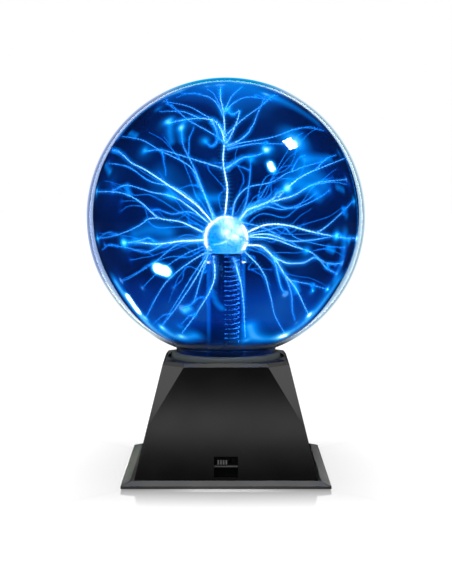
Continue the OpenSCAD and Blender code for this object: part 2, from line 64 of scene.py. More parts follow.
STEM_LOW, STEM_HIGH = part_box("stem_tube")
STEM_R = 14.2 * MM
STEM_WALL = 1.5 * MM
BULB_R = 16.2 * MM
BULB_C = Vector((0, 0, STEM_HIGH.z - BULB_R))
FLARE_TOP = 94 * MM

PLATE_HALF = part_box("base_plate")[1].x

# The film of glow and painted shade inside the glass, and the filaments' feet on it.
FILM_R = 97 * MM
FILM_C = GLOBE_C + Vector((0, 0, 1.6 * MM))
FILM_FOOT = STEM_LOW.z + 3 * MM
FOOT_R = 96.6 * MM

SPRING_WIRE_R = 0.45 * MM
SPRING_PITCH = 3.55 * MM

# How far the sharp edges of a CAD piece are rounded.
SOFT_EDGES = [("housing", 0.5 * MM), ("base_plate", 0.35 * MM), ("switch_knob", 0.1 * MM)]
# How much a material's roughness varies about its value.
GLOSS_SPREAD = 0.06

VIEW_DISTANCE = 1012 * MM
VIEW_HEIGHT = 220 * MM
VIEW_PITCH = 5.0
VIEW_LENS = 85.1

rng = random.Random(7)


# ---- small helpers ----

def new_object(name, verts, faces):
    """A smooth-shaded mesh object in the scene."""
    mesh = bpy.data.meshes.new(name)
    mesh.from_pydata([tuple(v) for v in verts], [], faces)
    mesh.validate()
    mesh.update()
    mesh.polygons.foreach_set("use_smooth", [True] * len(mesh.polygons))
    obj = bpy.data.objects.new(name, mesh)
    bpy.context.scene.collection.objects.link(obj)
    return obj


def lathe(name, profile, sides):
    """A surface of revolution about Z. The profile is a list of (radius, height)."""
    verts, rings = [], []
    for r, z in profile:
        if r < 1e-7:
            rings.append([len(verts)])
            verts.append((0, 0, z))
        else:
            rings.append(list(range(len(verts), len(verts) + sides)))
            verts += [
                (r * math.cos(math.tau * k / sides), r * math.sin(math.tau * k / sides), z)
                for k in range(sides)
            ]
    faces = []
    for a, b in zip(rings, rings[1:]):
        for k in range(sides):
            n = (k + 1) % sides
            if len(a) == 1:
                faces.append((a[0], b[n], b[k]))
            elif len(b) == 1:
                faces.append((a[k], a[n], b[0]))
            else:
                faces.append((a[k], a[n], b[n], b[k]))
    obj = new_object(name, verts, faces)
    bm = bmesh.new()
    bm.from_mesh(obj.data)
    bmesh.ops.recalc_face_normals(bm, faces=bm.faces)
    bm.to_mesh(obj.data)
    bm.free()
    return obj


def arc(centre_z, radius, start, end, steps):
    """Points (radius, height) on a circle, with angles in degrees from straight up."""
    return [
        (
            max(0.0, radius * math.sin(math.radians(start + (end - start) * i / steps))),
            centre_z + radius * math.cos(math.radians(start + (end - start) * i / steps)),
        )
        for i in range(steps + 1)
    ]


def smooth_path(points, steps):
    """A Catmull-Rom curve through the points."""
    out = []
    last = len(points) - 1
    for i in range(last):
        a, b = points[max(i - 1, 0)], points[i]
        c, d = points[i + 1], points[min(i + 2, last)]
        for s in range(steps):
            t = s / steps
            out.append(
                0.5 * (2 * b + (c - a) * t + (2 * a - 5 * b + 4 * c - d) * t * t
                       + (3 * b - a - 3 * c + d) * t ** 3)
            )
    out.append(points[-1])
    return out


class Tubes:
    """Many round tubes gathered into one mesh, with a value stored at each point."""

    def __init__(self):
        self.verts, self.faces, self.charge = [], [], []

    def add(self, path, radii, charges, sides):
        start = len(self.verts)
        last = len(path) - 1
        side = Vector((0.31, 0.87, 0.38))
        for i, p in enumerate(path):
            t = (path[min(i + 1, last)] - path[max(i - 1, 0)]).normalized()
            u = t.cross(side)
            u = u.normalized() if u.length > 1e-6 else t.orthogonal().normalized()
            v = t.cross(u)
            side = v
            for k in range(sides):
                a = 2 * math.pi * k / sides
                self.verts.append(p + radii[i] * (math.cos(a) * u + math.sin(a) * v))
                self.charge.append(charges[i])
        for i in range(last):
            for k in range(sides):
                n = (k + 1) % sides
                a = start + i * sides
                self.faces.append((a + k, a + n, a + sides + n, a + sides + k))
        self.faces.append(tuple(start + k for k in reversed(range(sides))))
        self.faces.append(tuple(start + last * sides + k for k in range(sides)))

    def build(self, name):
        obj = new_object(name, self.verts, self.faces)
        attribute = obj.data.attributes.new("charge", "FLOAT", "POINT")
        attribute.data.foreach_set("value", np.array(self.charge, np.float32))
        return obj


# ---- materials ----

class Nodes:
    """A material's node tree, with short ways to add and join nodes."""

    def __init__(self, name):
        self.material = bpy.data.materials.new(name)
        self.material.use_nodes = True
        self.tree = self.material.node_tree
        self.tree.nodes.clear()
        self.output = self.add("ShaderNodeOutputMaterial")

    def add(self, kind, **values):
        node = self.tree.nodes.new(kind)
        for key, value in values.items():
            setattr(node, key, value)
        return node

    def join(self, source, target):
        self.tree.links.new(source, target)

    def position(self):
        """The three coordinates of the point, in metres."""
        place = self.add("ShaderNodeTexCoord")
        split = self.add("ShaderNodeSeparateXYZ")
        self.join(place.outputs["Object"], split.inputs["Vector"])
        return split.outputs["X"], split.outputs["Y"], split.outputs["Z"]

    def step(self, source, start, end):
        """A smooth step from 0 at start to 1 at end."""
        node = self.add("ShaderNodeMapRange", interpolation_type="SMOOTHSTEP")
        node.inputs["From Min"].default_value = start
        node.inputs["From Max"].default_value = end
        self.join(source, node.inputs["Value"])
        return node.outputs["Result"]

    def maths(self, operation, a, b):
        node = self.add("ShaderNodeMath", operation=operation)
        for socket, value in zip(node.inputs, (a, b)):
            if isinstance(value, (int, float)):
                socket.default_value = value
            else:
                self.join(value, socket)
        return node.outputs[0]

    def times(self, a, b):
        return self.maths("MULTIPLY", a, b)

    def blend(self, share, first, second):
        """A colour between two, each a tuple or a socket."""
        node = self.add("ShaderNodeMix", data_type="RGBA")
        self.join(share, node.inputs["Factor"])
        for socket, value in ((node.inputs[6], first), (node.inputs[7], second)):
            if isinstance(value, tuple):
                socket.default_value = value
            else:
                self.join(value, socket)
        return node.outputs[2]

    def noise(self, scale, detail=4.0, roughness=0.55, stretch=(1, 1, 1)):
        source = self.add("ShaderNodeTexCoord")
        mapping = self.add("ShaderNodeMapping")
        mapping.inputs["Scale"].default_value = stretch
        texture = self.add("ShaderNodeTexNoise")
        texture.inputs["Scale"].default_value = scale
        texture.inputs["Detail"].default_value = detail
        texture.inputs["Roughness"].default_value = roughness
        self.join(source.outputs["Object"], mapping.inputs["Vector"])
        self.join(mapping.outputs["Vector"], texture.inputs["Vector"])
        return texture.outputs["Fac"]

    def ramp(self, source, stops):
        node = self.add("ShaderNodeValToRGB")
        elements = node.color_ramp.elements
        while len(elements) < len(stops):
            elements.new(0.5)
        for element, (position, colour) in zip(elements, stops):
            element.position = position
            element.color = tuple(colour) + (1,) if len(colour) == 3 else colour
        self.join(source, node.inputs["Fac"])
        return node.outputs["Color"]

    def glow(self, source, stops):
        """An emission whose colour ramp may go past one: the ramp holds shares of the peak."""
        peak = max(max(colour) for _, colour in stops)
        shares = [(position, tuple(c / peak for c in colour)) for position, colour in stops]
        node = self.add("ShaderNodeEmission")
        node.inputs["Strength"].default_value = peak
        self.join(self.ramp(source, shares), node.inputs["Color"])
        return node.outputs["Emission"]

    def map(self, source, low, high, start=0.0, end=1.0):
        """A value that goes evenly from low to high while the source goes from start to end."""
        node = self.add("ShaderNodeMapRange")
        node.inputs["From Min"].default_value = start
        node.inputs["From Max"].default_value = end
        node.inputs["To Min"].default_value = low
        node.inputs["To Max"].default_value = high
        self.join(source, node.inputs["Value"])
        return node.outputs["Result"]

    def bumps(self, height, strength, depth):
        """A normal bent by a height texture."""
        node = self.add("ShaderNodeBump")
        node.inputs["Strength"].default_value = strength
        node.inputs["Distance"].default_value = depth
        self.join(height, node.inputs["Height"])
        return node.outputs["Normal"]

    def finish(self, shader, glowing=False):
        """The material with this shader on it. A glowing one isn't sampled as a lamp."""
        self.join(shader, self.output.inputs["Surface"])
        if glowing:
            self.material.cycles.emission_sampling = "NONE"
        return self.material

    def finish_skin(self, share, glow, tint=(1, 1, 1, 1)):
        """The material as a share of glow over a clear film of this tint."""
        clear = self.add("ShaderNodeBsdfTransparent")
        clear.inputs["Color"].default_value = tint
        mix = self.add("ShaderNodeMixShader")
        if isinstance(share, float):
            mix.inputs["Fac"].default_value = share
        else:
            self.join(share, mix.inputs["Fac"])
        self.join(clear.outputs["BSDF"], mix.inputs[1])
        self.join(glow, mix.inputs[2])
        return self.finish(mix.outputs["Shader"], glowing=True)


def surface(name, dark, light, roughness, metallic=0.0, scale=60.0, bump=0.15, grain=900.0,
            stretch=(1, 1, 1)):
    """A solid material: two close tones, uneven gloss and a fine grain."""
    n = Nodes(name)
    shader = n.add("ShaderNodeBsdfPrincipled")
    shader.inputs["Metallic"].default_value = metallic
    broad = n.noise(scale, stretch=stretch)
    n.join(n.ramp(broad, [(0.3, dark), (0.7, light)]), shader.inputs["Base Color"])
    n.join(n.map(broad, roughness - GLOSS_SPREAD, roughness + GLOSS_SPREAD),
           shader.inputs["Roughness"])
    n.join(n.bumps(n.noise(grain, 3.0, 0.6, stretch), bump, 0.05 * MM), shader.inputs["Normal"])
    return n.finish(shader.outputs["BSDF"])


def glass(name, tint, band, rise, rim_light_colours, peak, foot):
    """Clear glass with a painted rim light where the wall is seen edge on.

    band is the range of facing over which the rim light sets in, and rise the rim light at the
    range's end and at the very edge. rim_light_colours gives the painted rim light on the left, on
    the right, at the
    top and at the lower left: it stands in for the light that the glass edge passes on from behind
    it, from the glow inside, and at the lower left from the lamp. foot is the range of height over
    which it fades out below.
    """
    n = Nodes(name)
    shader = n.add("ShaderNodeBsdfPrincipled")
    shader.inputs["Base Color"].default_value = tint
    shader.inputs["Roughness"].default_value = 0.0
    shader.inputs["Transmission Weight"].default_value = 1.0
    shader.inputs["IOR"].default_value = GLASS_IOR
    # Painted rim light: an emission where the wall is seen edge on.
    facing = n.add("ShaderNodeLayerWeight")
    facing.inputs["Blend"].default_value = 0.5
    set_in = n.step(facing.outputs["Facing"], *band)
    outer = n.map(facing.outputs["Facing"], *rise, band[1], 1.0)
    amount = n.times(n.times(set_in, outer), peak)
    x, _, z = n.position()
    n.join(n.times(amount, n.step(z, *foot)), shader.inputs["Emission Strength"])
    sideways = n.step(x, -GLOBE_R, GLOBE_R)
    upward = n.step(z, GLOBE_C.z + 0.84 * GLOBE_R, GLOBE_C.z + 0.96 * GLOBE_R)
    left, right, top, corner = rim_light_colours
    lower_left = n.times(n.step(z, GLOBE_C.z - 0.3 * GLOBE_R, GLOBE_C.z - 0.6 * GLOBE_R),
                         n.step(x, -0.25 * GLOBE_R, -0.55 * GLOBE_R))
    across = n.blend(lower_left, n.blend(sideways, left, right), corner)
    n.join(n.blend(upward, across, top), shader.inputs["Emission Color"])
    return n.finish(shader.outputs["BSDF"], glowing=True)


def light_skin(name, share, tint, attribute, stops):
    """A skin that lets light through and adds its own, read off an attribute through the stops."""
    n = Nodes(name)
    source = n.add("ShaderNodeAttribute", attribute_name=attribute)
    return n.finish_skin(share, n.glow(source.outputs["Fac"], stops), tint)


def emitter(name, attribute, stops):
    """Plain light, read off an attribute through the stops."""
    n = Nodes(name)
    source = n.add("ShaderNodeAttribute", attribute_name=attribute)
    return n.finish(n.glow(source.outputs["Fac"], stops), glowing=True)


def electrode_look():
    """The lit coating of the bulb: sky blue, paler to the right, with a hot spot."""
    n = Nodes("electrode_look")
    place = n.add("ShaderNodeTexCoord")
    spot = n.add("ShaderNodeMapping", vector_type="TEXTURE")
    spot.inputs["Location"].default_value = BULB_C + Vector((4.5, -12, 6)) * MM
    spot.inputs["Scale"].default_value = (12 * MM, 14 * MM, 9 * MM)
    ball = n.add("ShaderNodeTexGradient", gradient_type="SPHERICAL")
    n.join(place.outputs["Object"], spot.inputs["Vector"])
    n.join(spot.outputs["Vector"], ball.inputs["Vector"])
    x, _, z = n.position()
    cloud = n.map(n.noise(110.0, 2.0), -0.1, 0.4)
    pale = n.times(n.step(x, -8 * MM, 12 * MM), 0.3)
    top = n.times(n.step(z, BULB_C.z + 7 * MM, BULB_C.z + 14 * MM), 0.8)
    total = n.maths("ADD", n.maths("ADD", cloud, pale), n.maths("ADD", ball.outputs["Fac"], top))
    return n.finish(n.glow(n.maths("MINIMUM", total, 1.0), [
        (0.15, (0.3, 7.5, 9.0)), (0.45, (9.0, 13.0, 11.0)), (0.7, (50.0, 24.0, 13.0)),
        (1.0, (110.0, 40.0, 18.0)),
    ]), glowing=True)


def corona_look(name, band, colour, share):
    """A skin round the bulb that glows where it is seen edge on."""
    n = Nodes(name)
    facing = n.add("ShaderNodeLayerWeight")
    facing.inputs["Blend"].default_value = 0.5
    glow = n.add("ShaderNodeEmission")
    peak = max(colour)
    glow.inputs["Color"].default_value = tuple(c / peak for c in colour) + (1,)
    glow.inputs["Strength"].default_value = peak
    edge = n.times(n.step(facing.outputs["Facing"], *band), share)
    return n.finish_skin(edge, glow.outputs["Emission"])


def group(name, pieces):
    collection = bpy.data.collections.new(name)
    for piece in pieces:
        collection.objects.link(piece)
    return collection


def paint(obj, material):
    obj.data.materials.clear()
    obj.data.materials.append(material)
    return obj


# ---- camera ----

def make_camera():
    data = bpy.data.cameras.new("camera")
    data.sensor_width = 36
    data.lens = VIEW_LENS
    camera = bpy.data.objects.new("camera", data)
    camera.location = (0, -VIEW_DISTANCE, VIEW_HEIGHT)
    camera.rotation_euler = (math.radians(90 - VIEW_PITCH), 0, 0)
    bpy.context.scene.collection.objects.link(camera)
    bpy.context.scene.camera = camera


# ---- globe and stem ----

def make_globe(material):
    inner_r = NECK_R - GLASS_WALL
    outer_angle = 180 - math.degrees(math.asin(NECK_R / GLOBE_R))
    inner_angle = 180 - math.degrees(math.asin(inner_r / (GLOBE_R - GLASS_WALL)))
    profile = arc(GLOBE_C.z, GLOBE_R, 0, outer_angle, 120)
    profile += [(NECK_R, GLOBE_LOW.z + 0.5 * MM), (NECK_R - GLASS_WALL / 2, GLOBE_LOW.z)]
    profile += [(inner_r, GLOBE_LOW.z + 0.5 * MM)]
    profile += arc(GLOBE_C.z, GLOBE_R - GLASS_WALL, inner_angle, 0, 120)
    globe = lathe("globe", profile, 220)
    paint(globe, material)
    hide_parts("globe_glass")
    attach(globe, STAND)
    return globe


def stem_profile(shift):
    """The stem's wall moved in by shift, from the bulb's top down its flare."""
    bulb_r, stem_r = BULB_R - shift, STEM_R - shift
    turn = 180 - math.degrees(math.asin(stem_r / bulb_r))
    flare_r, flare_low = NECK_R - GLASS_WALL - 0.05 * MM, STEM_LOW.z + 1.5 * MM - shift
    profile = arc(BULB_C.z, bulb_r, 0, turn, 40)
    steps = 24
    for i in range(steps + 1):
        a = math.radians(90 * i / steps)
        profile.append((
            flare_r - (flare_r - stem_r) * math.cos(a),
            FLARE_TOP - (FLARE_TOP - flare_low) * math.sin(a),
        ))
    return profile


def make_stem(material):
    profile = stem_profile(0) + stem_profile(STEM_WALL)[::-1]
    stem = lathe("stem", profile, 96)
    paint(stem, material)
    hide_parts("stem_tube")
    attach(stem, STAND)


def make_spring(material):
    low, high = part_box("hv_spring")
    centre_x = (low.x + high.x) / 2
    radius = (high.x - low.x) / 2 - SPRING_WIRE_R
    turns = (high.z - low.z - 2 * SPRING_WIRE_R) / SPRING_PITCH
    steps = 20
    path = []
    for i in range(int(turns * steps) + 1):
        a = 2 * math.pi * i / steps
        z = low.z + SPRING_WIRE_R + SPRING_PITCH * i / steps
        path.append(Vector((centre_x + radius * math.cos(a), radius * math.sin(a), z)))
    tubes = Tubes()
    tubes.add(path, [SPRING_WIRE_R] * len(path), [0] * len(path), 8)
    spring = tubes.build("spring")
    paint(spring, material)
    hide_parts("hv_spring")
    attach(spring, STAND)


def glow_skin(name, profile, material, sides=96):
    """A glowing skin of revolution round the stem or inside the globe."""
    skin = lathe(name, profile, sides)
    paint(skin, material)
    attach(skin, STAND)
    return skin


# ---- light filaments ----

# Each route is (strength, depth at the start, depth near the end, points). The points are
# (right, up) in mm from the globe's centre as seen from the front. Depth is a share of the way to
# the glass: -1 is the front of the globe and 1 its back. The last point is always on the glass, on
# the side that the second depth gives.
ROUTES = [
    # The trunk and its crown.
    (1.0, 0, 0.1, [(-1, 1), (1, 21), (-2, 40), (-1, 59), (-2, 77), (-4, 88), (-4, 96)]),
    (0.5, 0, 0.5, [(-2, 74), (-9, 86), (-20, 90), (-33, 91)]),
    (0.4, 0, 0.4, [(-2, 76), (-8, 89), (-14, 95)]),
    (0.5, 0, -0.4, [(-2, 75), (4, 88), (12, 95)]),
    (0.45, 0, 0.6, [(-1, 76), (6, 84), (17, 88), (34, 86)]),
    (0.7, 0, -0.3, [(0, 54), (4, 61), (10, 77), (5, 75), (1, 77)]),
    (0.6, 0, -0.7, [(0, 52), (12, 58), (19, 66), (23, 76), (28, 87)]),
    (0.6, 0, 0.5, [(0, 60), (9, 69), (22, 79), (36, 91)]),
    (0.5, 0, -0.8, [(1, 50), (14, 53), (30, 54), (49, 53)]),
    (0.5, 0, 0.7, [(1, 52), (14, 55), (34, 59), (56, 66), (72, 64)]),
    (0.7, 0, -0.6, [(0, 36), (6, 40), (13, 44), (21, 45), (29, 48)]),
    (0.85, 0, -0.5, [(-1, 56), (-4, 65), (-10, 71), (-25, 72), (-42, 68)]),
    (0.6, 0, 0.5, [(-2, 62), (-5, 68), (-12, 73), (-27, 81), (-44, 85)]),
    (0.5, 0, 0.7, [(-1, 54), (-9, 61), (-27, 71), (-38, 80), (-44, 84)]),
    (0.6, -0.1, -0.7, [(-11, 71), (-7, 64), (-6, 57), (-10, 52), (-15, 55)]),
    (0.6, 0, -0.8, [(-2, 36), (-25, 43), (-47, 49), (-58, 48)]),
    # The fan to the upper left.
    (0.95, 0, -0.4, [
        (-11, -2), (-21, 9), (-35, 19), (-48, 28), (-61, 36), (-70, 41), (-78, 48), (-84, 50)
    ]),
    (0.6, 0, 0.6, [(-12, -2), (-24, 13), (-38, 22), (-56, 27), (-71, 37), (-86, 40)]),
    (0.6, 0, -0.2, [(-9, 0), (-18, 22), (-27, 38), (-48, 49), (-62, 57), (-77, 60)]),
    (0.6, 0, -0.9, [(-10, 0), (-17, 20), (-23, 36), (-31, 52), (-32, 64)]),
    (0.5, 0, 0.8, [(-8, 0), (-13, 12), (-20, 24), (-24, 34)]),
    (0.75, 0, 0.3, [(-13, -4), (-24, 6), (-34, 13), (-44, 17), (-56, 19), (-72, 24), (-83, 20)]),
    (0.5, 0, 0.9, [(-12, -3), (-26, 4), (-40, 3), (-50, 6), (-55, 5)]),
    (0.85, 0, -0.2, [(-16, -11), (-24, -7), (-33, -3), (-49, 0), (-61, 10), (-75, 18), (-93, 19)]),
    (0.6, -0.1, -0.4, [(-49, 0), (-57, -1), (-64, -6), (-81, -13), (-93, -15)]),
    (1.0, 0, -0.7, [(-16, -16), (-31, -17), (-49, -19), (-64, -18), (-74, -18)]),
    (0.5, -0.3, 0.4, [(-46, -19), (-58, -25), (-72, -22), (-90, -20)]),
    (0.45, 0, 0.7, [(-16, -18), (-34, -19), (-52, -32), (-70, -44), (-78, -47)]),
    # Down to the left.
    (0.6, 0, -0.5, [(-14, -25), (-27, -33), (-42, -45), (-52, -60), (-58, -72)]),
    (0.65, 0, -0.7, [(-14, -27), (-24, -47), (-35, -64), (-46, -78)]),
    (0.8, -0.1, -0.9, [(-8, -27), (-9, -47), (-19, -66), (-32, -84)]),
    (0.6, 0, 0.8, [(-14, -26), (-18, -42), (-24, -62), (-32, -66)]),
    (0.4, 0, 0.9, [(-14, -20), (-32, -28), (-50, -40), (-62, -52)]),
    # Down to the right.
    (0.8, -0.1, -0.8, [(5, -28), (10, -44), (13, -63), (14, -87)]),
    (0.65, 0, -0.6, [(16, -26), (26, -38), (32, -54), (36, -72), (43, -84)]),
    (1.0, 0, -0.6, [(16, -20), (26, -21), (35, -29), (42, -40), (50, -50), (60, -70)]),
    (0.75, -0.2, 0.1, [(35, -29), (45, -33), (57, -33), (66, -29), (74, -37), (84, -43)]),
    (0.6, -0.2, -0.3, [(40, -37), (46, -45), (58, -48), (74, -52)]),
    (0.6, -0.2, 0.8, [(35, -29), (38, -41), (41, -52), (44, -56)]),
    (0.5, -0.3, 0.3, [(43, -41), (48, -56), (49, -68), (52, -78)]),
    # To the right.
    (1.0, 0, -0.1, [(17, -10), (30, -5), (47, -6), (66, -11), (82, -14), (95, -15)]),
    (0.6, -0.1, -0.3, [(66, -11), (74, -6), (85, 4), (92, 12)]),
    (0.8, 0, -0.6, [(17, -13), (31, -12), (47, -17), (63, -16), (80, -13)]),
    (0.8, 0, 0.2, [(17, -14), (33, -15), (47, -20), (62, -25), (73, -33), (88, -35)]),
    (0.5, 0, 0.7, [(17, -12), (30, -9), (42, -7), (52, -15), (70, -20), (88, -22)]),
    # The fan to the upper right.
    (1.0, 0, -0.5, [(9, -3), (16, 6), (25, 9), (33, 13), (38, 18), (44, 21)]),
    (0.75, -0.2, -0.3, [(38, 15), (52, 28), (68, 36), (86, 43)]),
    (0.75, -0.2, 0.3, [(33, 12), (46, 15), (56, 20), (68, 26), (88, 28)]),
    (0.6, 0, 0.5, [(5, 1), (7, 13), (16, 22), (33, 26), (44, 32), (56, 37), (70, 41)]),
    (0.5, -0.1, 0.6, [(33, 12), (44, 7), (56, 9), (67, 14), (76, 20)]),
    (0.5, 0, -0.8, [(11, 0), (15, 12), (17, 28), (18, 42)]),
    (0.4, 0, 0.8, [(12, -1), (24, 13), (34, 30), (47, 52)]),
    (0.5, 0, 0.85, [(10, -1), (28, 8), (42, 6), (58, 12), (66, 18)]),
]
# Strands over the front of the bulb: (right, up) in mm from the bulb's centre.
STRANDS = [
    (0.9, [(-4, 13), (0, 9), (4, 6), (10, 2), (15, -2)]),
    (1.0, [(9, 12), (6, 8), (3, 3), (1, -1), (0, -5), (1, -11)]),
    (0.85, [(1, -1), (-4, -3), (-8, -4), (-12, -6), (-14, -10)]),
    (0.8, [(2, -2), (5, -5), (8, -7)]),
    (1.0, [(-9, 12), (-5, 14), (0, 15), (5, 14), (9, 12)]),
]
# Skins round the bulb: (gap to the glass, range of facing, colour, share).
CORONA = [
    (0.3 * MM, (0.36, 0.6), (40, 15, 7), 0.95),
    (1.4 * MM, (0.4, 1.0), (1.0, 5.0, 6.0), 0.5),
    (3.6 * MM, (0.3, 1.0), (0.0, 1.8, 3.6), 0.3),
]
# Soft strokes of glow on the front of the film, some of them painted highlights:
# (glow, radius in mm, points as in the routes).
GLOW_AND_HIGHLIGHT_STROKES = [
    (0.42, 2.6, [(-39, 70), (-40, 62), (-39, 54)]),
    (0.42, 2.6, [(-30, 68), (-32, 62), (-31, 55)]),
    (0.3, 8.0, [(54, 34), (62, 30), (70, 24)]),
    (0.3, 5.0, [(46, 26), (58, 22), (66, 16)]),
    (0.34, 3.6, [(56, 42), (66, 42), (74, 42)]),
    (0.5, 4.5, [(-76, 58), (-64, 71), (-49, 82), (-33, 89)]),
    (0.3, 6.0, [(36, 84), (52, 76), (64, 68)]),
    (0.4, 2.4, [(60, 74), (78, 56), (90, 30), (95, 5), (94, -20), (85, -44)]),
    (0.3, 4.4, [(86, -12), (84, -32), (80, -44)]),
    (0.3, 5.0, [(-66, -12), (-54, -8), (-42, -10)]),
    (0.6, 6.0, [(-80, -48), (-70, -62), (-56, -76), (-44, -84)]),
    (0.5, 6.5, [(40, -84), (58, -74), (72, -60), (82, -46)]),
    (0.5, 5.0, [(17, -78), (20, -84), (28, -86), (40, -84)]),
    (0.5, 5.0, [(-22, -84), (-34, -85), (-44, -80)]),
    (0.3, 2.2, [(-10, -54), (-7, -62), (-3, -66)]),
    (0.3, 3.0, [(-20, 16), (-12, 14), (-6, 14)]),
    # Painted highlights: the window lamp's reflections off the inside of the glass, set as bright
    # glow on the film.
    (3.0, 3.5, [(-50, -37), (-44, -39)]),
    (3.0, 2.6, [(-71, -58), (-64, -67)]),
    (3.0, 2.2, [(32, 38), (33, 35)]),
    (0.6, 2.8, [(-30, -68), (-27, -66)]),
    (0.45, 2.4, [(-86, 38), (-83, 33)]),
    (0.5, 2.6, [(-68, 60), (-64, 58)]),
    (0.4, 2.6, [(-71, 22), (-70, 18)]),
    (0.45, 2.6, [(-42, 17), (-38, 15)]),
    (0.4, 2.4, [(28, 49), (32, 50)]),
    (0.4, 2.4, [(50, -48), (52, -54)]),
    (0.35, 2.6, [(80, 22), (84, 20)]),
    (0.4, 2.4, [(74, -22), (78, -24)]),
    (0.5, 2.2, [(-58, 84), (-54, 80)]),
    (0.5, 8.5, [(47, 56), (50, 55)]),
]
LAYERS = [
    # (times the core's radius, share of glow, strength, name)
    (2.0, 0.05, 10.0, "inner_halo"),
    (3.6, 0.03, 8.0, "middle_halo"),
    (6.5, 0.02, 6.0, "outer_halo"),
]
CORE_R = 0.42 * MM
WILD_COUNT = 28
GOLDEN_ANGLE = 2.399963
FORKED_SHARE = 0.45
CLOUD_COUNT = 22


def sighted(x, z, share):
    """The point that the front view shows at (x, z), a share of the way to the glass in depth."""
    v = Vector((0, 0, 0))
    for _ in range(5):
        spread = 1 + v.y / VIEW_DISTANCE
        drop = (VIEW_HEIGHT - GLOBE_C.z) * v.y / VIEW_DISTANCE
        v.x, v.z = x * MM * spread, z * MM * spread - drop
        v.y = share * math.sqrt(max(0.0, FOOT_R ** 2 - v.x ** 2 - v.z ** 2))
    return GLOBE_C + v * min(1.0, FOOT_R / v.length)


def place(route):
    """A route's points in space. One that starts close to the bulb is moved to start on it."""
    _, start, end, points = route
    lengths = [0.0]
    for a, b in zip(points, points[1:]):
        lengths.append(lengths[-1] + math.dist(a, b))
    placed = [
        sighted(x, z, start + (end - start) * (s / lengths[-1]) ** 1.2)
        for (x, z), s in zip(points, lengths)
    ]
    placed[-1] = sighted(*points[-1], math.copysign(1, end))
    near = placed[0] - BULB_C
    if near.length < 1.4 * BULB_R:
        placed = [p for p in placed[1:] if (p - BULB_C).length > 1.1 * BULB_R]
        front = Vector((near.x, -0.25 * BULB_R if end < 0 else 0.25 * BULB_R, near.z))
        placed.insert(0, BULB_C + front.normalized() * BULB_R)
    return placed


def wild_route(k):
    """A filament that the front view doesn't decide: from the bulb to the glass, mostly behind."""
    up = 0.72 - 1.35 * (k + 0.5) / WILD_COUNT
    turn = GOLDEN_ANGLE * k + rng.uniform(-0.2, 0.2)
    flat = math.sqrt(1 - up * up)
    out = Vector((flat * math.cos(turn), abs(flat * math.sin(turn)) * 0.9 + 0.1, up)).normalized()
    foot = GLOBE_C + out * FOOT_R
    start = BULB_C + (out + Vector((0, 0, 0.1))).normalized() * BULB_R
    side = out.cross(Vector((0.2, 0.1, 1))).normalized()
    lift = out.cross(side)
    points = [start]
    for i in range(1, 5):
        t = i / 5
        bend = math.sin(math.pi * t) * 9 * MM
        across = side * rng.uniform(-1, 1) * bend
        points.append(start.lerp(foot, t) + across + lift * rng.uniform(-0.8, 1) * bend)
    points.append(foot)
    return points


def wiggle(path, amount):
    """Small sideways waves that make a filament look alive."""
    phase = [rng.uniform(0, 6.28) for _ in range(6)]
    out = []
    for i, p in enumerate(path):
        fade = min(1, i / 6, (len(path) - 1 - i) / 6)
        s = i * 0.4
        out.append(p + fade * amount * Vector((
            math.sin(s + phase[0]) + 0.5 * math.sin(2.3 * s + phase[1]),
            math.sin(0.9 * s + phase[2]) + 0.5 * math.sin(2.1 * s + phase[3]),
            math.sin(1.1 * s + phase[4]) + 0.5 * math.sin(1.9 * s + phase[5]),
        )))
    return out


def filament_list():
    """(path, strength) of every filament, wild ones and small forks at the ends included."""
    found = []
    for route in ROUTES:
        path = wiggle(smooth_path(place(route), 8), 0.14 * MM)
        found.append((path, route[0]))
    for strength, points in STRANDS:
        ring = BULB_R + 0.4 * MM
        path = [
            BULB_C + Vector((
                x * MM, -math.sqrt(max(0, ring ** 2 - (x * x + z * z) * MM ** 2)), z * MM
            ))
            for x, z in points
        ]
        found.append((smooth_path(path, 8), strength))
    for k in range(WILD_COUNT):
        path = wiggle(smooth_path(wild_route(k), 9), 0.3 * MM)
        found.append((path, rng.uniform(0.12, 0.28)))
    forks = []
    for path, strength in found:
        if rng.random() < FORKED_SHARE and len(path) > 20:
            base = path[int(len(path) * rng.uniform(0.6, 0.8))]
            out = (path[-1] - GLOBE_C).normalized()
            spin = Matrix.Rotation(rng.uniform(-0.3, 0.3), 3, "Z")
            turn = spin @ Matrix.Rotation(rng.uniform(-0.25, 0.25), 3, "X")
            foot = GLOBE_C + (turn @ out) * (FOOT_R * rng.uniform(0.97, 1))
            aside = Vector((rng.uniform(-1, 1), rng.uniform(-1, 1), 1))
            middle = base.lerp(foot, 0.5) + 2.5 * MM * aside
            fork = wiggle(smooth_path([base, middle, foot], 8), 0.3 * MM)
            forks.append((fork, strength * 0.55))
    return found + forks


def make_filaments(core_material, halo_materials):
    """The filaments: bright cores in wider, fainter tubes of halo. Returns their paths."""
    filaments = filament_list()
    groups = [(1.0, "filament_cores", core_material)] + [
        (scale, name, halo_materials[name]) for scale, _, _, name in LAYERS
    ]
    for scale, name, material in groups:
        tubes = Tubes()
        for path, strength in filaments:
            last = len(path) - 1
            size = CORE_R * (0.5 + 1.3 * strength ** 1.5)
            radii = [size * scale * (1.15 - 0.55 * i / last) for i in range(last + 1)]
            charges = [strength * (1.0 - 0.55 * i / last) for i in range(last + 1)]
            tubes.add(path, radii, charges, 6 if scale == 1.0 else 8)
        piece = tubes.build(name)
        paint(piece, material)
        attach(piece, STAND)
    return filaments


# ---- the film of glow and painted shade round the gas ----

def film_point(angle):
    """The film's (radius, height) at an angle from straight up. It nears the glass at the neck."""
    near_neck = min(1, max(0, (angle - 118) / 32))
    share = near_neck ** 2 * (3 - 2 * near_neck)
    reach = FILM_R + (GLOBE_R - GLASS_WALL - 0.4 * MM - FILM_R) * share
    centre = FILM_C.lerp(GLOBE_C, share)
    turn = math.radians(angle)
    return reach * math.sin(turn), centre.z + reach * math.cos(turn)


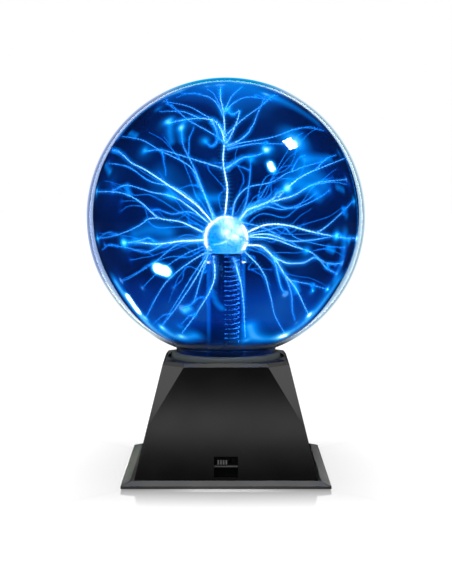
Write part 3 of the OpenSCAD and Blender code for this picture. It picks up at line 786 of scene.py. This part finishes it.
def make_film(material, filaments):
    """The film of glow inside the glass, brighter at the filaments' feet, strokes, painted
    highlights and top.
    """
    neck = NECK_R - GLASS_WALL - 1 * MM
    profile = [film_point(180 * i / 240) for i in range(241)]
    profile = [p for p in profile if p[1] > GLOBE_C.z or p[0] > neck] + [(neck, FILM_FOOT)]
    film = glow_skin("gas_glow", profile, material, 360)
    count = len(film.data.vertices)
    at = np.empty(count * 3)
    film.data.vertices.foreach_get("co", at)
    at = at.reshape(-1, 3)
    glow = np.full(count, 0.02)
    for path, strength in filaments:
        foot = np.array(path[-1])
        gap = np.linalg.norm(at - foot, axis=1)
        size = (1.9 + 1.3 * strength) * MM
        reach = strength ** 0.5 * (1.0 if foot[1] < 0 else 1.5)
        glow += 0.68 * reach * np.exp(-(gap / size) ** 2)
        glow += 0.14 * reach * np.exp(-(gap / (3.4 * size)) ** 2)
    # Strokes of glow, and painted highlights of the window lamp's reflections.
    for level, radius, points in GLOW_AND_HIGHLIGHT_STROKES:
        path = smooth_path([sighted(x, z, -1) for x, z in points], 6)
        gap = np.min([np.linalg.norm(at - np.array(p), axis=1) for p in path], axis=0)
        glow += level * np.exp(-(gap / (radius * MM)) ** 2)
    for _ in range(CLOUD_COUNT):
        out = Vector([rng.gauss(0, 1) for _ in range(3)]).normalized() * FILM_R
        gap = np.linalg.norm(at - np.array(FILM_C + out), axis=1)
        glow += rng.uniform(0.02, 0.15) * np.exp(-(gap / (rng.uniform(12, 26) * MM)) ** 2)
    height = (at[:, 2] - GLOBE_C.z) / GLOBE_R
    glow += 0.45 * np.clip((height - 0.72) / 0.24, 0, 1) ** 1.5
    # A haze low down, mostly at the back.
    behind = np.clip(0.5 + at[:, 1] / (60 * MM), 0.1, 1)
    low = np.clip((-height - 0.42) / 0.3, 0, 1) * np.clip((height + 0.9) / 0.1, 0, 1)
    glow += 0.55 * behind * low
    attribute = film.data.attributes.new("glow", "FLOAT", "POINT")
    attribute.data.foreach_set("value", np.clip(glow, 0, 1).astype(np.float32))
    return film


# ---- light and surroundings ----

def make_floor():
    """A white floor that mirrors the base faintly close to it, and the room the mirror shows."""
    half = 6
    corners = [(-half, -half, 0), (half, -half, 0), (half, half, 0), (-half, half, 0)]
    floor = new_object("floor", corners, [(0, 1, 2, 3)])
    n = Nodes("floor_paint")
    matt = n.add("ShaderNodeBsdfDiffuse")
    matt.inputs["Color"].default_value = (0.4, 0.4, 0.4, 1)
    glow = n.add("ShaderNodeEmission")
    glow.inputs["Strength"].default_value = 0.74
    both = n.add("ShaderNodeAddShader")
    n.join(matt.outputs["BSDF"], both.inputs[0])
    n.join(glow.outputs["Emission"], both.inputs[1])
    mirror = n.add("ShaderNodeBsdfGlossy")
    mirror.inputs["Roughness"].default_value = 0.06
    x, y, _ = n.position()
    away = n.maths("MAXIMUM", n.maths("ABSOLUTE", x, 0), n.maths("ABSOLUTE", y, 0))
    mix = n.add("ShaderNodeMixShader")
    n.join(n.map(away, 0.6, 0.0, PLATE_HALF, PLATE_HALF + 52 * MM), mix.inputs["Fac"])
    n.join(both.outputs["Shader"], mix.inputs[1])
    n.join(mirror.outputs["BSDF"], mix.inputs[2])
    paint(floor, n.finish(mix.outputs["Shader"], glowing=True))
    floor.visible_transmission = False
    floor.visible_glossy = False

    room = lathe("room", [(4, 0), (4, 5)], 64)
    white = Nodes("room_white")
    paint(room, white.finish(white.add("ShaderNodeEmission").outputs["Emission"], glowing=True))
    room.visible_camera = room.visible_diffuse = False
    room.visible_transmission = room.visible_shadow = False
    room.light_linking.receiver_collection = group("floor_only", [floor])
    return floor


def make_world():
    world = bpy.data.worlds.new("studio")
    bpy.context.scene.world = world
    world.use_nodes = True
    tree = world.node_tree
    tree.nodes.clear()

    def add(kind, **values):
        node = tree.nodes.new(kind)
        for key, value in values.items():
            setattr(node, key, value)
        return node

    def shade(colour, strength=1.0):
        node = add("ShaderNodeBackground")
        if isinstance(colour, tuple):
            node.inputs["Color"].default_value = colour
        else:
            tree.links.new(colour, node.inputs["Color"])
        node.inputs["Strength"].default_value = strength
        return node.outputs["Background"]

    def choose(share, first, second):
        node = add("ShaderNodeMixShader")
        tree.links.new(share, node.inputs["Fac"])
        tree.links.new(first, node.inputs[1])
        tree.links.new(second, node.inputs[2])
        return node.outputs["Shader"]

    # What glass shows behind itself: lavender on the left, sky blue on the right.
    direction = add("ShaderNodeTexCoord")
    split = add("ShaderNodeSeparateXYZ")
    tree.links.new(direction.outputs["Generated"], split.inputs["Vector"])
    spread = add("ShaderNodeMapRange")
    spread.inputs["From Min"].default_value = -0.35
    spread.inputs["From Max"].default_value = 0.35
    tree.links.new(split.outputs["X"], spread.inputs["Value"])
    hue = add("ShaderNodeMix", data_type="RGBA")
    tree.links.new(spread.outputs["Result"], hue.inputs["Factor"])
    hue.inputs[6].default_value = (0.57, 0.78, 1.35, 1)
    hue.inputs[7].default_value = (0.5, 1.0, 1.45, 1)

    rays = add("ShaderNodeLightPath")
    straight = add("ShaderNodeMath", operation="LESS_THAN")
    tree.links.new(rays.outputs["Glossy Depth"], straight.inputs[0])
    straight.inputs[1].default_value = 0.5
    seen_through = add("ShaderNodeMath", operation="MULTIPLY")
    tree.links.new(rays.outputs["Is Transmission Ray"], seen_through.inputs[0])
    tree.links.new(straight.outputs[0], seen_through.inputs[1])

    dark = shade((0.5, 0.7, 1, 1), 0.02)
    result = choose(rays.outputs["Is Diffuse Ray"], dark, shade((1, 1, 1, 1)))
    result = choose(seen_through.outputs[0], result, shade(hue.outputs[2]))
    result = choose(rays.outputs["Is Camera Ray"], result, shade((1, 1, 1, 1)))
    output = add("ShaderNodeOutputWorld")
    tree.links.new(result, output.inputs["Surface"])


def area_light(name, place_at, target, size, radiance, receivers, roll=0.0, blockers=None):
    """A flat lamp of a given radiance that faces a target and lights only the receivers.

    With blockers given, nothing else casts shadows in its light, and it is never seen in a mirror.
    """
    data = bpy.data.lights.new(name, "AREA")
    data.shape = "RECTANGLE"
    data.size, data.size_y = size
    data.energy = radiance * math.pi * size[0] * size[1]
    lamp = bpy.data.objects.new(name, data)
    aim = (Vector(target) - Vector(place_at)).to_track_quat("-Z", "Y").to_matrix()
    turned = aim @ Matrix.Rotation(roll, 3, "Z")
    lamp.matrix_world = Matrix.Translation(place_at) @ turned.to_4x4()
    bpy.context.scene.collection.objects.link(lamp)
    lamp.light_linking.receiver_collection = receivers
    if blockers is not None:
        lamp.light_linking.blocker_collection = blockers
        data.cycles.use_multiple_importance_sampling = False
    return lamp


def make_lights(globe, floor):
    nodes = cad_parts
    shell = group("shell", [nodes[n] for n in (
        "housing", "switch_bezel", "switch_knob", "legend_plate", "inlet_body", "inlet_nut",
        "inlet_pin", "base_screws", "rubber_feet",
    )])
    crown = group("crown", [nodes[n] for n in ("housing", "collar_ring", "neck_gasket")])
    plate = group("plate", [nodes["base_plate"]])
    ground = group("ground", [floor])
    # The white patch on the globe.
    area_light("window", GLOBE_C + Vector((0.291, -0.094, 0.336)), GLOBE_C, (0.062, 0.054), 600,
               group("globe_only", [globe]), roll=math.radians(-4))
    base = Vector((0, 0, 0.05))
    for turn in range(4):
        spin = Matrix.Rotation(math.radians(90 * turn), 3, "Z")
        # A strip low in front of each face, and one to the side of each cut corner.
        for name, place_at, size, radiance, receivers, blockers in (
            ("face_strip", (0, -1.6, 0.462), (1.6, 0.062), 1.7, shell, None),
            ("corner_strip", (-1.2, 0.24, 0.92), (0.45, 0.45), 1.4, shell, None),
            ("corner_strip", (1.2, 0.24, 0.92), (0.45, 0.45), 1.4, shell, None),
            # Small lamps for the bevel and the collar on top, and for the plate's sloping border.
            ("crown_lamp", (0, -0.62, 1.3), (0.12, 0.12), 20, crown, ground),
            ("plate_lamp", (0, 0.83, 1.1), (0.5, 0.12), 9, plate, ground),
            ("lip_lamp", (0, -1.0, -0.26), (0.12, 0.12), 12, plate, plate),
            ("border_lamp", (-0.34, 1.0, 0.12), (0.14, 0.12), 2.4, plate, plate),
            ("border_lamp", (0.34, 1.0, 0.12), (0.14, 0.12), 2.4, plate, plate),
        ):
            area_light(name, base + spin @ Vector(place_at), base, size, radiance, receivers,
                       blockers=blockers)

    # Blue light on the spring, which is seen through the glass and the film.
    coil = group("coil", [bpy.data.objects["spring"]])
    for side, radiance in ((-1, 600), (1, 3200)):
        lamp = area_light("coil_lamp", GLOBE_C + Vector((0.3 * side, -0.16 * side, 0.05)),
                          GLOBE_C - Vector((0, 0, 60 * MM)), (0.5, 0.1), radiance, coil,
                          blockers=ground)
        lamp.data.color = (0.15, 0.6, 1.0)

    data = bpy.data.lights.new("electrode_light", "POINT")
    data.energy = 1.2
    data.color = (0.5, 0.8, 1.0)
    data.shadow_soft_size = 14 * MM
    lamp = bpy.data.objects.new("electrode_light", data)
    lamp.location = BULB_C + Vector((0, 0, 30 * MM))
    lamp.visible_camera = lamp.visible_glossy = lamp.visible_transmission = False
    bpy.context.scene.collection.objects.link(lamp)


# ---- looks of the CAD pieces ----

def shell_look(name, top):
    """Satin black plastic. Above top, where the bevel and seat are, it is duller."""
    n = Nodes(name)
    shader = n.add("ShaderNodeBsdfPrincipled")
    broad = n.noise(45.0, 3.0)
    n.join(n.ramp(broad, [(0.3, (0.0022, 0.0022, 0.0023)), (0.7, (0.0032, 0.0032, 0.0034))]),
           shader.inputs["Base Color"])
    _, _, z = n.position()
    duller = n.times(n.step(z, top - 0.4 * MM, top), 0.16)
    n.join(n.maths("ADD", n.map(broad, 0.1, 0.14), duller), shader.inputs["Roughness"])
    n.join(n.bumps(n.noise(1400.0, 2.0), 0.06, 0.03 * MM), shader.inputs["Normal"])
    return n.finish(shader.outputs["BSDF"])


def painted_highlight(name, axis, edge, dark, light, roughness):
    """Black plastic with a painted highlight: a light part along an axis (0, 1 or 2).

    edge gives in metres where the light part sets in, and with four numbers also where it ends.
    """
    n = Nodes(name)
    shader = n.add("ShaderNodeBsdfPrincipled")
    along = n.position()[axis]
    share = n.step(along, *edge[:2])
    if len(edge) == 4:
        share = n.times(share, n.step(along, *edge[2:]))
    cloud = n.map(n.noise(500.0), 0.85, 1.0)
    n.join(n.blend(n.times(share, cloud), dark, light), shader.inputs["Base Color"])
    n.join(n.map(n.noise(200.0), roughness, roughness + 0.12), shader.inputs["Roughness"])
    return n.finish(shader.outputs["BSDF"])


def paint_nodes():
    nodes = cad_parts
    nodes_done = {"globe_glass", "stem_tube", "hv_spring", "electrode_coating"}

    def use(material, *names):
        for name in names:
            paint(nodes[name], material)
            nodes_done.add(name)

    use(shell_look("housing_look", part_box("housing")[1].z - 2.6 * MM), "housing")
    use(surface("plate_look", (0.004, 0.004, 0.0042), (0.006, 0.006, 0.0065), 0.34, bump=0.1),
        "base_plate")
    use(surface("collar_look", (0.1, 0.12, 0.126), (0.13, 0.15, 0.158), 0.34), "collar_ring")
    use(surface("rubber_look", (0.006, 0.006, 0.006), (0.012, 0.012, 0.012), 0.8, bump=0.3),
        "neck_gasket", "rubber_feet")
    use(surface("dark_plastic_look", (0.02, 0.02, 0.022), (0.03, 0.03, 0.032), 0.45),
        "globe_socket")
    use(surface("zinc_look", (0.5, 0.5, 0.48), (0.62, 0.62, 0.6), 0.32, metallic=1.0, scale=300),
        "socket_screws", "base_screws", "switch_board_screws", "board_screws", "transistor_screw")
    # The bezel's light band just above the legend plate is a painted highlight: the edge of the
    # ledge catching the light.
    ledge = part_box("legend_plate")[1].z
    use(painted_highlight("bezel_painted_highlight", 2, [ledge + rise * MM for rise in (0.9, 1.1, 1.6, 1.3)],
                 (0.002, 0.002, 0.002, 1), (0.13, 0.13, 0.13, 1), 0.3), "switch_bezel")
    use(surface("legend_look", (0.001, 0.001, 0.001), (0.002, 0.002, 0.002), 0.25), "legend_plate")
    # The knob's front, where its ribs are, is lighter: a painted highlight where the ribs catch
    # the light from above.
    knob_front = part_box("switch_knob")[0].y
    use(painted_highlight("knob_painted_highlight", 1, (knob_front + 0.5 * MM, knob_front + 0.1 * MM),
                 (0.003, 0.003, 0.003, 1), (0.12, 0.12, 0.12, 1), 0.35), "switch_knob")
    use(surface("tinned_look", (0.6, 0.6, 0.58), (0.75, 0.75, 0.73), 0.3, metallic=1.0, scale=200),
        "inlet_nut", "inlet_lugs")
    use(surface("oxide_look", (0.004, 0.004, 0.005), (0.008, 0.008, 0.009), 0.55), "switch_can")
    use(surface("brass_look", (0.62, 0.44, 0.16), (0.75, 0.55, 0.24), 0.28, metallic=1.0,
                scale=200), "switch_contact", "switch_terminals", "hv_contact")
    use(surface("gold_look", (0.8, 0.58, 0.22), (0.9, 0.68, 0.3), 0.18, metallic=1.0, scale=300),
        "inlet_pin")
    use(surface("phenolic_look", (0.012, 0.007, 0.004), (0.02, 0.012, 0.007), 0.6, scale=150),
        "switch_wafer")
    use(surface("board_look", (0.008, 0.075, 0.02), (0.014, 0.11, 0.035), 0.35, scale=120,
                grain=500), "circuit_board", "switch_board")
    use(surface("grey_wire_look", (0.1, 0.1, 0.1), (0.15, 0.15, 0.15), 0.5),
        "switch_wires", "inlet_wires")
    use(surface("red_wire_look", (0.4, 0.015, 0.01), (0.5, 0.03, 0.02), 0.45), "hv_lead")
    use(surface("silicone_look", (0.62, 0.62, 0.6), (0.7, 0.7, 0.68), 0.55), "stem_plug")
    use(surface("wool_look", (0.1, 0.1, 0.11), (0.4, 0.4, 0.42), 0.4, metallic=1.0, scale=900,
                bump=1.0), "electrode_wool")
    use(surface("inlet_look", (0.01, 0.01, 0.01), (0.018, 0.018, 0.018), 0.4), "inlet_body")
    use(surface("ferrite_look", (0.02, 0.02, 0.022), (0.045, 0.045, 0.05), 0.6, scale=250),
        "transformer_core")
    use(surface("bobbin_look", (0.04, 0.035, 0.03), (0.07, 0.06, 0.05), 0.5), "transformer_bobbin")
    use(surface("tape_look", (0.6, 0.4, 0.04), (0.7, 0.5, 0.07), 0.35, scale=80),
        "secondary_winding")
    use(surface("copper_look", (0.45, 0.16, 0.06), (0.6, 0.24, 0.1), 0.3, metallic=1.0, scale=200,
                stretch=(1, 1, 12)), "primary_winding")
    use(surface("anodised_look", (0.3, 0.3, 0.32), (0.4, 0.4, 0.42), 0.38, metallic=1.0,
                stretch=(1, 1, 8)), "heat_sink")
    use(surface("epoxy_look", (0.012, 0.012, 0.013), (0.02, 0.02, 0.022), 0.5),
        "power_transistor", "driver_chip")
    use(surface("sleeve_look", (0.01, 0.02, 0.08), (0.02, 0.035, 0.12), 0.3),
        "electrolytic_capacitors")
    use(surface("film_red_look", (0.35, 0.03, 0.015), (0.45, 0.05, 0.03), 0.35), "film_capacitor")
    use(surface("resistor_look", (0.45, 0.32, 0.18), (0.55, 0.4, 0.25), 0.4, scale=600),
        "resistors")
    use(surface("can_look", (0.5, 0.5, 0.5), (0.65, 0.65, 0.65), 0.35, metallic=1.0, scale=400),
        "microphone")
    use(surface("nylon_look", (0.65, 0.64, 0.58), (0.75, 0.74, 0.68), 0.45), "wire_headers")
    missing = set(nodes) - nodes_done
    if missing:
        raise ValueError(f"nodes without a look: {sorted(missing)}")


def soften(name, width):
    """Round the sharp edges of a CAD piece a little."""
    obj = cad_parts[name]
    weld = obj.modifiers.new("weld", "WELD")
    weld.merge_threshold = 0.002 * MM
    flat = obj.modifiers.new("flat", "DECIMATE")
    flat.decimate_type = "DISSOLVE"
    flat.angle_limit = math.radians(0.3)
    bevel = obj.modifiers.new("bevel", "BEVEL")
    bevel.width = width
    bevel.segments = 2
    bevel.limit_method = "ANGLE"
    bevel.angle_limit = math.radians(14)
    even = obj.modifiers.new("even", "WEIGHTED_NORMAL")
    even.weight = 100
    even.keep_sharp = False
    obj.data.polygons.foreach_set("use_smooth", [True] * len(obj.data.polygons))


def main():
    scene = bpy.context.scene
    scene.view_settings.view_transform = "Standard"
    scene.cycles.use_denoising = True
    scene.cycles.max_bounces = 24
    scene.cycles.transmission_bounces = 20
    scene.cycles.glossy_bounces = 8
    scene.cycles.caustics_reflective = False
    scene.cycles.caustics_refractive = False
    scene.cycles.transparent_max_bounces = 128
    make_camera()
    make_world()
    floor = make_floor()

    # The globe's glass carries a painted rim light: lavender on the left, sky blue on the right,
    # azure at the top and white at the lower left.
    globe = make_globe(glass("globe_glass_look", (0.97, 0.985, 1, 1), (0.7, 0.76), (0.1, 1.45), (
        (0.38, 0.5, 0.84, 1), (0.66, 0.86, 1.0, 1), (0.0, 0.45, 0.95, 1), (0.85, 1.0, 1.05, 1),
    ), 1.0, (GLOBE_C.z - 0.9 * GLOBE_R, GLOBE_C.z - 0.8 * GLOBE_R)))
    # The stem's glass gets painted azure rim lines along its walls in the same way.
    make_stem(glass("stem_glass_look", (0.42, 0.54, 0.74, 1), (0.42, 0.6), (1.0, 0.6), (
        (0.0, 0.32, 0.7, 1), (0.0, 0.3, 0.65, 1), (0.1, 0.4, 0.7, 1), (0.0, 0.32, 0.7, 1),
    ), 3.0, (FLARE_TOP - 10 * MM, FLARE_TOP + 20 * MM)))
    for shift, band, colour, share in CORONA:
        profile = arc(BULB_C.z, BULB_R + shift, 0, 130, 40)
        profile.append((STEM_R + shift, BULB_C.z - 18 * MM))
        glow_skin("corona", profile, corona_look("corona_look", band, colour, share))
    make_spring(surface("spring_look", (0.6, 0.62, 0.65), (0.8, 0.82, 0.85), 0.3, metallic=1.0))

    core = emitter("core_look", "charge", [
        (0.0, (0.05, 1.3, 3.0)), (0.25, (0.5, 3.2, 4.2)), (0.5, (4.8, 6.6, 5.2)),
        (0.75, (19.0, 12.5, 6.5)), (1.0, (46.0, 17.0, 8.0)),
    ])
    halo = [(0.0, (0.0, 0.32, 0.9)), (0.5, (0.0, 0.65, 1.3)), (1.0, (0.3, 1.3, 1.7))]
    halos = {
        name: light_skin(name + "_look", share, (1, 1, 1, 1), "charge", [
            (position, tuple(c * strength for c in colour)) for position, colour in halo
        ])
        for _, share, strength, name in LAYERS
    }
    filaments = make_filaments(core, halos)
    # The film's tint dims all that is seen through the globe to navy: a painted shade standing in
    # for the dark room behind the glass.
    film_glow_and_painted_shade = light_skin("gas_glow_and_painted_shade", 0.5, (0.07, 0.2, 0.47, 1), "glow", [
        (0.0, (0.0, 0.0, 0.0)), (0.1, (0.0, 0.02, 0.12)), (0.3, (0.0, 0.24, 1.0)),
        (0.5, (0.0, 0.6, 2.0)), (0.7, (0.2, 1.3, 2.6)), (0.85, (0.6, 2.6, 4.0)),
        (1.0, (5.0, 7.0, 8.0)),
    ])
    make_film(film_glow_and_painted_shade, filaments)

    paint(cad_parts["electrode_coating"], electrode_look())

    paint_nodes()
    for name, width in SOFT_EDGES:
        soften(name, width)
    make_lights(globe, floor)


main()
